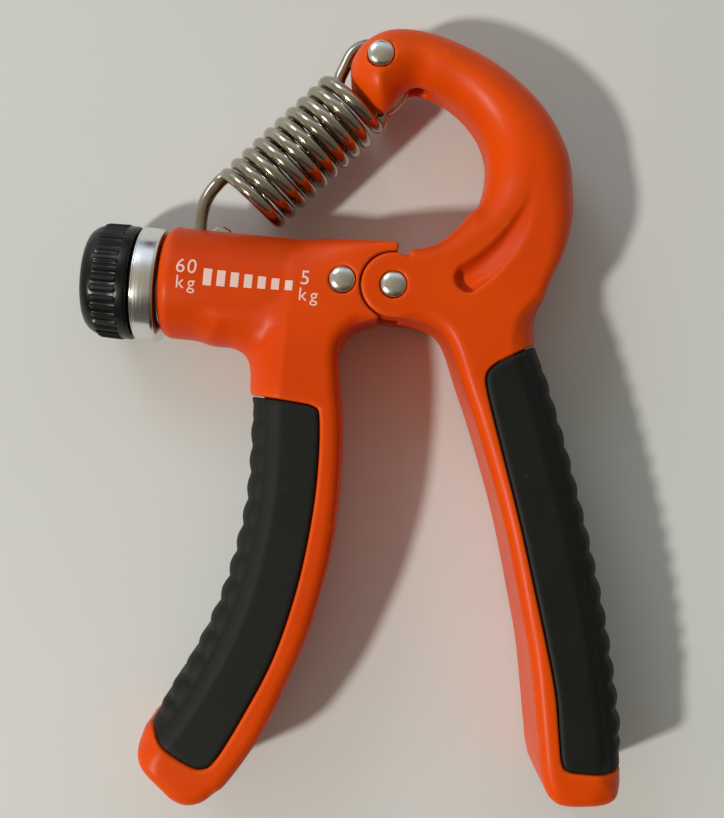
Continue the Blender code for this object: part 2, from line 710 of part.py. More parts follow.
bpy.context.view_layer.update()
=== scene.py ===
import math

import bpy
import bmesh
import numpy as np
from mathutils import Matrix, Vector


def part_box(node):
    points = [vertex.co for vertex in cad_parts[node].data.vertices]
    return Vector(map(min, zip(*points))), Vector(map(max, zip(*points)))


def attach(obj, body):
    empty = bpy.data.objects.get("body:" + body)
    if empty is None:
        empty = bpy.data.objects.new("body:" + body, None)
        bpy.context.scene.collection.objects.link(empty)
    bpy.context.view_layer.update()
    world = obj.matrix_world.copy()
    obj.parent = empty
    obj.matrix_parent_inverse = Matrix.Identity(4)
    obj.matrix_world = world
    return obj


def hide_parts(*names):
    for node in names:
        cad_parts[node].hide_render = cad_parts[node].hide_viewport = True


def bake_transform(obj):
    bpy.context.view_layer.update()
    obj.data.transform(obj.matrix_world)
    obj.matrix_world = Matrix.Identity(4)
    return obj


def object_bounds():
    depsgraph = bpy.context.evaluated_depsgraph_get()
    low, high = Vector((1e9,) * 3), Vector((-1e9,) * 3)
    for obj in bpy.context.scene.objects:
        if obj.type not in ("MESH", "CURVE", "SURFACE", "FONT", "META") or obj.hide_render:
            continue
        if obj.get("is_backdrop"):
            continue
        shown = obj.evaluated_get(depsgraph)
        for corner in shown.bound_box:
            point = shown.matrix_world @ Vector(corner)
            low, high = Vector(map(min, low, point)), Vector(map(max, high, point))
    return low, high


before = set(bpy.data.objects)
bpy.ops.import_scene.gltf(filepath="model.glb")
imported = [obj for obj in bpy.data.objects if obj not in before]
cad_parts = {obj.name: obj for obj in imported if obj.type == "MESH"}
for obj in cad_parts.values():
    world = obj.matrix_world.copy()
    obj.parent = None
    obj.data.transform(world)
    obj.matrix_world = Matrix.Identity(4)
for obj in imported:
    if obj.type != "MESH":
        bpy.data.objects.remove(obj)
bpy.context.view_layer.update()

MM = 0.001
MID = (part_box("left_handle")[0].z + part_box("left_handle")[1].z) / 2 / MM  # mid-plane height
VOXEL = 0.5

# ---------------------------------------------------------------- dimensions
HALF, ARM_HALF = 12.0, 9.6              # half thickness of the handles and the C arm
BACK_Z = 0.03 - HALF                    # both handles are cut flat here
BARREL_Y, BARREL_R, BARREL_END = -2.6, 11.45, -46.4
ADJUSTER_Y = -3.5                       # axis of the knob, collar and bores
EAR_R = 6.3                             # the moving handle's round ears at the hinge
PIN_R = 2.5
PIN_HOLE_R = PIN_R + 0.16
LINK_RIVET, ANCHOR = (-10.0, 0.0), (-6.8, 45.3)
PAD_GAP = 0.12                          # between a pad's rim and its shell
PAD_SEAT, PAD_THICK = 2.3, 1.95         # depth of the shell's recess, rubber in it
RIB_PITCH = 5.3
CREASE_Z = 10.35                        # where a pad's ribs end, on both faces


# ------------------------------------------------------------------- outlines
def smooth(points, steps=6, closed=True):
    """Catmull-Rom through the points; a point with a third value is a corner."""
    count = len(points)
    out = []
    for i in range(count if closed else count - 1):
        p1, p2 = points[i], points[(i + 1) % count]
        p0 = points[(i - 1) % count] if (closed or i > 0) else p1
        p3 = points[(i + 2) % count] if (closed or i + 2 < count) else p2
        before = p1 if len(p1) > 2 else p0
        after = p2 if len(p2) > 2 else p3
        for s in range(steps):
            t = s / steps
            out.append(tuple(
                (2 * t**3 - 3 * t**2 + 1) * p1[k]
                + (t**3 - 2 * t**2 + t) * (p2[k] - before[k]) / 2
                + (-2 * t**3 + 3 * t**2) * p2[k] + (t**3 - t**2) * (after[k] - p1[k]) / 2
                for k in (0, 1)))
    if not closed:
        out.append((points[-1][0], points[-1][1]))
    return out


def polar(degrees, radius, centre=(0, 0)):
    angle = math.radians(degrees)
    return (centre[0] + radius * math.cos(angle), centre[1] + radius * math.sin(angle))


def shift(path, offset):
    """The path moved sideways, to the left of its direction."""
    out = []
    for i, point in enumerate(path):
        before, after = path[max(i - 1, 0)], path[min(i + 1, len(path) - 1)]
        dx, dy = after[0] - before[0], after[1] - before[1]
        span = math.hypot(dx, dy)
        out.append((point[0] - dy / span * offset, point[1] + dx / span * offset))
    return out


def length(path):
    return sum(math.dist(a, b) for a, b in zip(path, path[1:]))


# Outline tables are (x, y); a third value marks a corner. A handle's outer edge
# faces away from the other handle and its inner edge faces it.
LEFT_OUTER = smooth([(-25.6, -23.6), (-24.8, -33.5), (-24.6, -44.0), (-25.7, -54.5),
                     (-28.0, -65.5), (-31.6, -75.6), (-35.6, -84.0), (-39.2, -90.2)],
                    8, closed=False)
LEFT_END = [(-40.7, -92.0), (-41.5, -95.8), (-40.2, -99.0), (-35.4, -103.2),
            (-33.0, -104.9), (-30.2, -105.5), (-27.4, -104.6), (-25.2, -102.6)]
LEFT_INNER = [(-23.4, -101.0), (-19.8, -95.3), (-16.4, -88.7), (-13.3, -80.4),
              (-10.2, -70.9), (-8.2, -61.5), (-7.0, -53.4), (-6.6, -44.7),
              (-6.8, -36.2), (-7.5, -27.6), (-8.9, -19.5), (-9.6, -14.2),
              (-8.9, -11.2), (-6.9, -8.7), (-4.6, -7.5)]
LEFT_TOP = [(-0.3, 8.35), (-8.0, 8.5), (-16.0, 8.65), (-22.5, 8.75, 1)]
LEFT_LOOP = (smooth(LEFT_END + LEFT_INNER + [(-2.5, -6.85, 1)], closed=False)
             + [(0.35, -2.0), (0.35, 8.05), (0.1, 8.3)] + smooth(LEFT_TOP, 4, closed=False)
             + [(-25.6, 4.0), (-25.9, -12.0)] + LEFT_OUTER)
LEFT_PAD_INNER = smooth([
    (-23.0, -24.3, 1), (-16.4, -24.7), (-13.2, -25.2), (-11.9, -27.0), (-11.2, -36.0),
    (-11.4, -47.0), (-13.0, -60.9), (-16.3, -74.9), (-21.3, -87.1), (-25.4, -95.3),
    (-27.6, -97.3), (-30.6, -97.0), (-36.2, -94.0), (-38.4, -91.2, 1)], closed=False)
# fills the corner between the barrel and the fixed handle's outer edge
LEFT_CORNER = smooth([(-22.0, -6.0), (-37.0, -6.0), (-36.0, -13.0), (-32.0, -13.5),
                      (-29.7, -14.6), (-28.0, -16.5), (-26.9, -19.4), (-25.8, -24.5),
                      (-20.0, -26.0)])
RIGHT_OUTER = smooth([(29.4, -8.6), (31.9, -14.6), (36.2, -25.3), (40.5, -37.0),
                      (44.4, -48.5), (48.1, -60.6), (51.2, -73.0), (53.4, -83.5),
                      (54.4, -89.5)], 8, closed=False)
RIGHT_END = [(54.9, -93.6), (54.3, -95.9), (52.4, -97.3), (48.4, -98.0), (44.2, -98.4),
             (41.6, -97.9), (39.6, -96.0), (38.2, -92.2)]
RIGHT_INNER = [(37.1, -86.7), (34.2, -71.8), (31.6, -62.2), (26.2, -44.3), (19.6, -27.2),
               (15.4, -17.7), (12.8, -11.6), (10.6, -8.4), (7.8, -6.9), (4.0, -EAR_R)]
RIGHT_TOP = [(2.35, 5.85, 1), (2.7, 7.1, 1), (6.5, 8.5), (9.6, 10.0), (12.2, 12.2),
             (14.6, 15.4, 1)]
RIGHT_LOOP = (RIGHT_OUTER + smooth(RIGHT_END + RIGHT_INNER, closed=False)
              + [polar(-90 - 202 * i / 60, EAR_R) for i in range(61)]
              + smooth(RIGHT_TOP, 4, closed=False) + [(24.0, 14.0), (28.2, 2.5), (28.6, -3.0)])
ARM_LOOP = smooth([
    (24.0, -4.0), (28.0, -0.6), (30.4, 3.6), (32.6, 8.6), (34.2, 14.2), (34.8, 19.8),
    (33.9, 27.8), (31.8, 33.2), (28.0, 38.8), (22.8, 43.6), (16.8, 47.6), (10.4, 50.4),
    (3.8, 52.3), (-2.2, 52.8), (-7.0, 51.8), (-10.7, 49.0), (-12.5, 45.3), (-12.2, 41.6),
    (-10.5, 38.4), (-7.9, 36.0), (-5.2, 35.5), (-3.3, 37.2), (-1.6, 39.6), (1.6, 40.8),
    (5.9, 40.0), (9.6, 38.0), (13.0, 35.0), (15.4, 31.6), (16.8, 27.6), (16.9, 22.6),
    (15.7, 18.0), (13.6, 14.0), (11.0, 10.0), (9.0, 4.0), (14.0, -4.0)])
RIGHT_PAD_INNER = smooth([
    (27.2, -9.8, 1), (24.2, -11.5), (21.2, -13.5), (19.8, -15.6), (20.2, -18.7),
    (22.8, -26.2), (28.9, -43.2), (33.2, -56.4), (36.2, -65.8), (39.2, -76.1),
    (40.8, -84.9), (41.8, -89.7), (43.4, -91.0), (47.0, -91.1), (50.6, -91.0),
    (53.2, -90.8, 1)], closed=False)
# crescent groove on both faces where the arm leaves the handle; the two sides meet
GROOVE_INNER = smooth([(15.5, 0.1), (14.0, -0.15), (12.4, 0.6), (11.5, 2.0), (11.45, 3.5),
                       (12.3, 5.1), (14.3, 6.6), (18.4, 10.6), (21.7, 15.3), (24.2, 19.6),
                       (25.4, 24.4)], 5, closed=False)
GROOVE_OUTER = smooth([(15.5, 0.1), (19.5, 3.5), (22.6, 7.6), (25.0, 12.4), (26.1, 17.8),
                       (25.9, 21.5), (25.4, 24.4)], 5, closed=False)
ARM_SLOT = [(-20, 29.5), (3.5, 29.5), (3.5, 45.0), (3.0, 48.6), (1.4, 52.0), (0.6, 55.0),
            (-20, 55.0)]


# ------------------------------------------------------------ distance fields
# Negative inside a shape, positive outside, in millimetres.
FIELD_STEP = 0.3
LEFT_AREA = ((-50.0, -109.0), (4.0, 13.0))
RIGHT_AREA = ((-15.0, -102.0), (60.0, 56.0))


def trace(path, x, y, closed=False):
    """Distance to a polyline, the arc length of the nearest point, and inside."""
    x, y = (v.ravel() for v in np.broadcast_arrays(x, y))
    best = np.full(x.shape, 1e18)
    where = np.zeros(x.shape)
    inside = np.zeros(x.shape, bool)
    run = 0.0
    for (x0, y0), (x1, y1) in zip(path, path[1:] + path[:1] if closed else path[1:]):
        dx, dy = x1 - x0, y1 - y0
        square = dx * dx + dy * dy
        from_x, from_y = x - x0, y - y0
        t = np.clip((from_x * dx + from_y * dy) / square, 0, 1)
        dist = (from_x - dx * t) ** 2 + (from_y - dy * t) ** 2
        near = dist < best
        best[near] = dist[near]
        where[near] = run + t[near] * math.sqrt(square)
        if closed and y0 != y1:
            inside ^= ((y0 > y) != (y1 > y)) & (x < x0 + (y - y0) * dx / dy)
        run += math.sqrt(square)
    return np.sqrt(best), where, inside


class Field:
    """A 2-D function held on a fine grid and read back with a cubic B-spline."""

    def __init__(self, function, area):
        lo, hi = area
        self.lo = [v - 4 * FIELD_STEP for v in lo]
        x, y = (self.lo[k] + FIELD_STEP * np.arange(int((hi[k] - lo[k]) / FIELD_STEP) + 9)
                for k in (0, 1))
        self.grid = function(x[:, None], y[None, :]).reshape(len(x), len(y))

    def weights(self, value, k):
        """The cell along axis k and the spline's weights around it."""
        place = (value - self.lo[k]) / FIELD_STEP
        cell = np.clip(np.floor(place).astype(int), 1, self.grid.shape[k] - 3)
        f = place - cell
        return cell, ((1 - f) ** 3 / 6, (3 * f**3 - 6 * f**2 + 4) / 6,
                      (-3 * f**3 + 3 * f**2 + 3 * f + 1) / 6, f**3 / 6)

    def __call__(self, x, y):
        x, y = np.broadcast_arrays(x, y)
        i, weight_x = self.weights(x, 0)
        j, weight_y = self.weights(y, 1)
        out = 0.0
        for a in range(4):
            for b in range(4):
                out = out + weight_x[a] * weight_y[b] * self.grid[i + a - 1, j + b - 1]
        return out


def loop_field(path, area):
    def signed(x, y):
        dist, _, inside = trace(path, x, y, closed=True)
        return np.where(inside, -dist, dist)
    return Field(signed, area)


def line_field(path, area):
    return Field(lambda x, y: trace(path, x, y)[0], area)


def step(start, end, value):
    """Smooth rise from 0 at start to 1 at end."""
    t = np.clip((value - start) / (end - start), 0, 1)
    return t * t * (3 - 2 * t)


def smin(a, b, blend):
    """Union with a soft join."""
    t = np.clip(0.5 + 0.5 * (b - a) / blend, 0, 1)
    return b * (1 - t) + a * t - blend * t * (1 - t)


def smax(a, b, blend):
    """Intersection with a soft edge; with b negated, a cut."""
    return -smin(-a, -b, blend)


def extrude(side, end, edge):
    """Distances to a solid's side and its ends joined by an edge of radius `edge`."""
    side, end = side + edge, end + edge
    return (np.minimum(np.maximum(side, end), 0)
            + np.hypot(np.maximum(side, 0), np.maximum(end, 0)) - edge)


def plate(outline, z, half, edge):
    return extrude(outline, np.abs(z) - half, edge)


def bar(x, y, z, centre_y, radius, x0, x1, edge):
    """A round bar along X."""
    return extrude(np.hypot(y - centre_y, z) - radius,
                   np.abs(x - (x0 + x1) / 2) - (x1 - x0) / 2, edge)


def block(x, y, z, spans, edge=0.0):
    gaps = [np.abs(v - (a + b) / 2) - (b - a) / 2 + edge for v, (a, b) in zip((x, y, z), spans)]
    out = np.sqrt(sum(np.maximum(gap, 0) ** 2 for gap in gaps))
    return out + np.minimum(np.maximum(np.maximum(gaps[0], gaps[1]), gaps[2]), 0) - edge


def hole(x, y, centre, radius):
    return np.hypot(x - centre[0], y - centre[1]) - radius


def rib_field(outer, height0, height1, area):
    """Height of the finger ribs, running from height0 to height1 along the edge."""
    total = length(outer)

    def height(x, y):
        dist, along, _ = trace(outer, x, y)
        full = height0 + (height1 - height0) * along / total
        ends = step(2.0, 6.0, along) * step(2.0, 5.0, total - along)
        wave = np.abs(np.sin(math.pi * along / RIB_PITCH))
        return full * ends * wave * (1 - step(3.0, 6.0, dist))
    return Field(height, area)


def groove_depth(x, y):
    """Steep along the inner side, and fading out towards the +Y tip."""
    _, _, inside = trace(GROOVE_INNER + GROOVE_OUTER[::-1][1:-1], x, y, closed=True)
    to_inner, along, _ = trace(GROOVE_INNER, x, y)
    to_outer, _, _ = trace(GROOVE_OUTER, x, y)
    across = to_inner / (to_inner + to_outer + 1e-6)
    part = along / length(GROOVE_INNER)
    depth = 3.0 * (1 - step(0.22, 1.0, part)) + 0.5 * (1 - part)
    return np.where(inside, depth * step(0.0, 0.34, across) * (1 - across) ** 0.7, 0.0)


left_body = loop_field(LEFT_LOOP, LEFT_AREA)
left_edge = line_field([(-25.6, 9.0)] + LEFT_OUTER, LEFT_AREA)
left_region = loop_field(shift(LEFT_OUTER, -6.0) + LEFT_PAD_INNER[::-1], LEFT_AREA)
left_ribs = rib_field(LEFT_OUTER, 0.4, 1.0, LEFT_AREA)
left_corner = loop_field(LEFT_CORNER, LEFT_AREA)

right_body = loop_field(RIGHT_LOOP, RIGHT_AREA)
right_arm = loop_field(ARM_LOOP, RIGHT_AREA)
right_edge = line_field(RIGHT_OUTER, RIGHT_AREA)
right_region = loop_field(shift(RIGHT_OUTER, 6.0) + RIGHT_PAD_INNER[::-1], RIGHT_AREA)
right_ribs = rib_field(RIGHT_OUTER, 0.4, 0.8, RIGHT_AREA)
right_slot = loop_field(ARM_SLOT, RIGHT_AREA)
right_groove = Field(groove_depth, RIGHT_AREA)


def left_skin(x, y, z):
    """Outer surface of the fixed handle, with no cuts."""
    outer = 1 - step(4.0, 10.0, left_edge(x, y))
    # edges are crisp at the hinge and rounder away from it, most on the outer side
    edge = 0.5 + step(0.5, 7.0, -x) * (2.3 + 4.2 * outer)
    # the faces fall away like the barrel's where they meet
    fall = step(5.0, 25.0, -x) * step(-24.0, -9.0, y)
    crown = np.sqrt(np.maximum(BARREL_R**2 - np.maximum(y - BARREL_Y, 0) ** 2, 9.0))
    half = HALF + fall * (crown - HALF)
    grip = plate(left_body(x, y), z, half, np.minimum(edge, half - 0.3))
    barrel = bar(x, y, z, BARREL_Y, BARREL_R, BARREL_END, -8.5, edge=2.5)
    corner = plate(left_corner(x, y), z, half=8.6, edge=6.0)
    join = 0.7 + 3.4 * step(4.0, 10.0, -y) * step(16.0, 27.0, -x)
    return np.maximum(smin(smin(grip, corner, 2.0), barrel, join), BACK_Z - z)


def right_skin(x, y, z):
    """Outer surface of the moving handle and its C arm, with no cuts."""
    outer = 1 - step(4.0, 10.0, right_edge(x, y))
    # edges are crisp at the ears and rounder away from them
    away = np.maximum(step(0.3, 6.5, x), step(18.0, 22.0, y))
    edge = 0.5 + away * (2.2 + 4.4 * outer)
    # thins from the handle to the arm, starting lower down on the +X side
    thin_y = 12.0 - 9.0 * step(3.0, 9.0, x)
    thin = step(0.0, 1.0, (y - thin_y) / (27.0 - thin_y))
    both = smin(right_body(x, y), right_arm(x, y), 0.8 + 3.6 * step(3.0, 9.0, x))
    out = plate(both, z, HALF + (ARM_HALF - HALF) * thin, edge + (7.6 - edge) * thin)
    out = np.maximum(out + right_groove(x, y), BACK_Z - z)
    # the ball end of the arm and the hollow behind it
    ball = np.exp(-(((x + 7.6) / 4.6) ** 2 + ((y - 41.6) / 4.6) ** 2))
    dent = np.exp(-(((x - 0.6) / 2.8) ** 2 + ((y - 42.6) / 5.0) ** 2))
    return out - 0.55 * ball + 0.7 * dent


def recessed(skin, region):
    """A handle's skin with the shallow recess for its pad."""
    return np.minimum(smax(skin, -(region - PAD_GAP), 0.5), skin + PAD_SEAT)


def ribbed(skin, region, ribs, edge_dist, z, crease_depth):
    """A pad's outside: ribs between the creases, a fine line at each crease."""
    fade = 1 - step(CREASE_Z - 0.5, CREASE_Z + 0.4, np.abs(z))
    near = 1 - step(5.0, 7.5, edge_dist)
    crease = crease_depth * np.exp(-((np.abs(z) - CREASE_Z) / 0.45) ** 2) * near
    return smax(skin - ribs * fade + crease, region + PAD_GAP, 0.7)


def left_handle(x, y, z):
    out = recessed(left_skin(x, y, z), left_region(x, y))
    # wide bore from the barrel's open end, then a narrow one past it
    out = smax(out, -bar(x, y, z, ADJUSTER_Y, 8.5, BARREL_END - 6, -16.4, edge=0.2), 0.7)
    out = np.maximum(out, -bar(x, y, z, ADJUSTER_Y, 4.55, -18.0, -14.9, edge=0.1))
    # long slot through the barrel's +Y side
    out = smax(out, -block(x, y, z, ((-43.4, -16.8), (0.0, 14.0), (-3.05, 3.05)), 0.3), 0.5)
    # round seat of the ears, then the slot of the hinge link
    out = smax(out, -hole(x, y, (0, 0), EAR_R + 0.32), 0.5)
    out = np.maximum(out, -block(x, y, z, ((-14.55, 8.0), (-5.75, 5.75), (-2.85, 2.85))))
    return smax(out, -hole(x, y, LINK_RIVET, PIN_HOLE_R), 0.4)


def left_pad(x, y, z):
    skin = left_skin(x, y, z)
    out = ribbed(skin, left_region(x, y), left_ribs(x, y), left_edge(x, y), z, 0.22)
    return np.maximum(out, -(skin + PAD_THICK))


def right_handle(x, y, z):
    out = recessed(right_skin(x, y, z), right_region(x, y))
    # gap between the two ears
    gap_half = 3.75
    round_gap = np.maximum(np.hypot(x, y) - EAR_R - 0.06, np.abs(z) - gap_half)
    out = np.maximum(out, -round_gap)
    out = np.maximum(out, -block(x, y, z, ((-10.0, 0.2), (-9.0, 9.0), (-gap_half, gap_half))))
    # slot in the arm's end for the spring's top loop
    out = smax(out, -np.maximum(right_slot(x, y), np.abs(z) - 2.1), 0.6)
    out = smax(out, -hole(x, y, (0, 0), PIN_HOLE_R), 0.4)
    return smax(out, -hole(x, y, ANCHOR, PIN_HOLE_R), 0.4)


def right_pad(x, y, z):
    skin = right_skin(x, y, z)
    out = ribbed(skin, right_region(x, y), right_ribs(x, y), right_edge(x, y), z, 0.2)
    # a small nub near the pad's lower outer corner
    nub = np.sqrt((x - 54.6) ** 2 + (y + 87.9) ** 2 + z**2) - 0.85
    return np.maximum(smin(out, nub, 0.3), -(skin + PAD_THICK))


# ------------------------------------------------------------- surface meshes
CORNERS = [(a, b, c) for a in (0, 1) for b in (0, 1) for c in (0, 1)]
CHUNK = 24                  # grid layers worked out at a time
PROBE = 0.04                # step for measuring a field's slope
MAX_PULL = 0.4              # largest field value corrected at once


def at(array, cells):
    return array[tuple(cells.T)]


def project(shape, points, times):
    """Pulls points along the slope onto the zero level."""
    for _ in range(times):
        dist = shape(*points.T)
        slope = np.empty_like(points)
        for k in range(3):
            moved = points.copy()
            moved[:, k] += PROBE
            slope[:, k] = (shape(*moved.T) - dist) / PROBE
        square = np.maximum((slope * slope).sum(1), 0.05)
        points = points - np.clip(dist / square, -MAX_PULL, MAX_PULL)[:, None] * slope
    return points


def surface(shape, lo, hi, size):
    """Quads on the zero level of a field, evened out and drawn back onto it."""
    lo, hi = np.array(lo, float), np.array(hi, float)
    count = np.ceil((hi - lo) / size).astype(int) + 1
    x, y, z = (lo[k] + size * np.arange(count[k]) for k in range(3))
    field = np.empty(count, np.float32)
    for i in range(0, count[0], CHUNK):
        field[i:i + CHUNK] = shape(x[i:i + CHUNK][:, None, None], y[None, :, None],
                                   z[None, None, :])
    solid = field < 0
    filled = np.zeros(count - 1, np.int8)
    for a, b, c in CORNERS:
        filled += solid[a:count[0] - 1 + a, b:count[1] - 1 + b, c:count[2] - 1 + c]
    cells = np.argwhere((filled > 0) & (filled < 8))
    number = np.full(count - 1, -1, np.int64)
    number[tuple(cells.T)] = np.arange(len(cells))

    # one point per cell: the mean of the crossings on its twelve edges
    total, hits = np.zeros((len(cells), 3)), np.zeros(len(cells))
    for corner in CORNERS:
        for k in range(3):
            if corner[k]:
                continue
            start = np.array(corner)
            end = start.copy()
            end[k] = 1
            value0, value1 = at(field, cells + start), at(field, cells + end)
            cross = (value0 < 0) != (value1 < 0)
            t = value0[cross] / (value0[cross] - value1[cross])
            total[cross] += start + t[:, None] * (end - start)
            hits[cross] += 1
    points = lo + size * (cells + total / hits[:, None])

    # one quad around every grid edge that crosses the surface
    quads = []
    for k in range(3):
        u, v = (k + 1) % 3, (k + 2) % 3
        edge = np.argwhere(np.diff(solid, axis=k))
        edge = edge[(edge[:, u] > 0) & (edge[:, v] > 0)
                    & (edge[:, u] < count[u] - 1) & (edge[:, v] < count[v] - 1)]
        outward = at(solid, edge)
        ring = []
        for du, dv in ((-1, -1), (0, -1), (0, 0), (-1, 0)):
            cell = edge.copy()
            cell[:, u] += du
            cell[:, v] += dv
            ring.append(at(number, cell))
        ring = np.stack(ring, 1)
        ring[~outward] = ring[~outward][:, ::-1]
        quads.append(ring)
    quads = np.concatenate(quads)

    sides = np.concatenate([quads[:, [i, (i + 1) % 4]] for i in range(4)])
    edges = np.unique(np.sort(sides, 1), axis=0)
    degree = np.bincount(edges.ravel(), minlength=len(points)).astype(float)[:, None]
    for _ in range(2):
        near = np.zeros_like(points)
        for k in range(3):
            near[:, k] = (np.bincount(edges[:, 0], points[edges[:, 1], k], len(points))
                          + np.bincount(edges[:, 1], points[edges[:, 0], k], len(points)))
        points = project(shape, points + 0.5 * (near / degree - points), 1)
    return project(shape, points, 2), quads


def add_object(name, data):
    obj = bpy.data.objects.new(name, data)
    bpy.context.scene.collection.objects.link(obj)
    return obj


def mesh_object(name, points, faces):
    """A smooth mesh object from points in millimetres about the mid-plane."""
    mesh = bpy.data.meshes.new(name)
    place = np.asarray(points, float) * MM
    place[:, 2] += MID * MM
    mesh.from_pydata(place.tolist(), [], [list(map(int, face)) for face in faces])
    mesh.validate()
    mesh.update()
    mesh.shade_smooth()
    return add_object(name, mesh)


def face_outward(piece):
    bm = bmesh.new()
    bm.from_mesh(piece.data)
    bmesh.ops.recalc_face_normals(bm, faces=bm.faces)
    bm.to_mesh(piece.data)
    bm.free()


# ------------------------------------------------------------------ materials
def set_inputs(node, **values):
    """Sets sockets by name, with underscores for spaces."""
    for key, value in values.items():
        node.inputs[key.replace("_", " ")].default_value = value


class Nodes:
    """A material and short ways to add to its node tree."""

    def __init__(self, name):
        self.material = bpy.data.materials.new(name)
        self.material.use_nodes = True
        self.tree = self.material.node_tree
        self.shader = self.tree.nodes["Principled BSDF"]
        self.coords = None

    def add(self, kind, **props):
        node = self.tree.nodes.new(kind)
        for key, value in props.items():
            setattr(node, key, value)
        return node

    def link(self, source, target):
        self.tree.links.new(source, target)

    def feed(self, name, source):
        self.link(source, self.shader.inputs[name])

    def noise(self, scale, detail=4.0, rough=0.6, distortion=0.0, stretch=None):
        node = self.add("ShaderNodeTexNoise")
        set_inputs(node, Scale=scale, Detail=detail, Roughness=rough, Distortion=distortion)
        if stretch:
            mapping = self.add("ShaderNodeMapping")
            set_inputs(mapping, Scale=stretch)
            self.link(mapping.outputs["Vector"], node.inputs["Vector"])
            node_in = mapping
        else:
            node_in = node
        if self.coords is None:
            self.coords = self.add("ShaderNodeTexCoord").outputs["Object"]
        self.link(self.coords, node_in.inputs["Vector"])
        return node.outputs["Fac"]

    def ramp(self, source, at, grey=(0, 1)):
        """Greys at the two positions `at`."""
        node = self.add("ShaderNodeValToRGB")
        for stop, position, value in zip(node.color_ramp.elements, at, grey):
            stop.position = position
            stop.color = (value, value, value, 1.0)
        self.link(source, node.inputs["Fac"])
        return node.outputs["Color"]

    def mix(self, mask, low, high):
        """Colours, or sockets that give one, mixed by a mask."""
        node = self.add("ShaderNodeMix", data_type="RGBA", blend_type="MIX")
        self.link(mask, node.inputs[0])
        for socket, colour in ((6, low), (7, high)):
            if isinstance(colour, tuple):
                node.inputs[socket].default_value = (*colour, 1.0)
            else:
                self.link(colour, node.inputs[socket])
        return node.outputs[2]

    def tint(self, base, mask, amount, colour):
        node = self.add("ShaderNodeMath", operation="MULTIPLY")
        self.link(mask, node.inputs[0])
        node.inputs[1].default_value = amount
        return self.mix(node.outputs[0], base, colour)

    def bump(self, *layers):
        """Chained bumps; each layer has a height, a strength and a distance in metres."""
        last = None
        for layer in layers:
            node = self.add("ShaderNodeBump")
            set_inputs(node, Strength=layer["strength"], Distance=layer["distance"])
            self.link(layer["height"], node.inputs["Height"])
            if last is not None:
                self.link(last, node.inputs["Normal"])
            last = node.outputs["Normal"]
        self.feed("Normal", last)

    def pointiness(self):
        """Low in creases, high on edges."""
        return self.add("ShaderNodeNewGeometry").outputs["Pointiness"]


def orange_plastic():
    n = Nodes("orange_plastic")
    big, mid = n.noise(scale=28.0, detail=3.0, rough=0.5), n.noise(scale=240.0)
    col = n.mix(n.ramp(big, at=(0.3, 0.72)),
                low=(0.66, 0.050, 0.0006), high=(0.78, 0.074, 0.0010))
    # painted highlight: convex edges are tinted a brighter orange
    edges = n.ramp(n.pointiness(), at=(0.50, 0.56))
    col = n.tint(col, edges, amount=0.30, colour=(0.92, 0.15, 0.010))
    # painted shade: concave creases are tinted a darker orange
    creases = n.ramp(n.pointiness(), at=(0.42, 0.49), grey=(1, 0))
    col = n.tint(col, creases, amount=0.5, colour=(0.42, 0.008, 0.0))
    specks = n.ramp(n.noise(scale=1500.0, detail=2.0, rough=0.5), at=(0.70, 0.78))
    col = n.tint(col, specks, amount=0.12, colour=(0.25, 0.02, 0.0))
    n.feed("Base Color", col)
    smear = n.noise(scale=60.0, detail=5.0, rough=0.65, distortion=0.6)
    n.feed("Roughness", n.ramp(smear, at=(0.3, 0.7), grey=(0.31, 0.42)))
    set_inputs(n.shader, Specular_IOR_Level=0.13, Subsurface_Weight=0.10,
               Subsurface_Radius=(0.0018, 0.0005, 0.0002), Subsurface_Scale=1.0)
    n.bump(dict(height=big, strength=0.25, distance=0.0006),
           dict(height=n.noise(scale=1900.0, detail=3.0), strength=0.16, distance=0.00005),
           dict(height=mid, strength=0.12, distance=0.00012))
    return n.material


def rubber():
    n = Nodes("black_rubber")
    big, fine = n.noise(scale=45.0), n.noise(scale=2600.0, detail=3.0, rough=0.7)
    col = n.mix(n.ramp(big, at=(0.3, 0.7)),
                low=(0.0042, 0.0046, 0.0040), high=(0.0075, 0.0080, 0.0068))
    # painted highlight: rib crests and edges are tinted a lighter grey
    crest_highlight = n.ramp(n.pointiness(), at=(0.50, 0.57))
    col = n.tint(col, crest_highlight, amount=0.5, colour=(0.024, 0.025, 0.021))
    dust = n.ramp(n.noise(scale=900.0, detail=5.0, rough=0.75, distortion=0.3), at=(0.62, 0.74))
    col = n.tint(col, dust, amount=0.22, colour=(0.075, 0.07, 0.05))
    n.feed("Base Color", col)
    n.feed("Roughness", n.ramp(big, at=(0.25, 0.75), grey=(0.56, 0.68)))
    set_inputs(n.shader, Specular_IOR_Level=0.24)
    n.bump(dict(height=fine, strength=0.35, distance=0.00006),
           dict(height=n.noise(scale=350.0), strength=0.22, distance=0.00012))
    return n.material


def black_plastic(name, rough):
    n = Nodes(name)
    big = n.noise(scale=90.0, distortion=0.4)
    col = n.mix(n.ramp(big, at=(0.35, 0.7)),
                low=(0.0030, 0.0032, 0.0032), high=(0.0060, 0.0062, 0.0062))
    # painted highlight: edges and rib crests are tinted a lighter grey
    crest_highlight = n.ramp(n.pointiness(), at=(0.51, 0.60))
    n.feed("Base Color", n.tint(col, crest_highlight, amount=0.4, colour=(0.03, 0.03, 0.031)))
    n.feed("Roughness", n.ramp(big, at=(0.3, 0.75), grey=rough))
    set_inputs(n.shader, Specular_IOR_Level=0.26)
    n.bump(dict(height=n.noise(scale=1600.0, detail=3.0), strength=0.14, distance=0.00004))
    return n.material


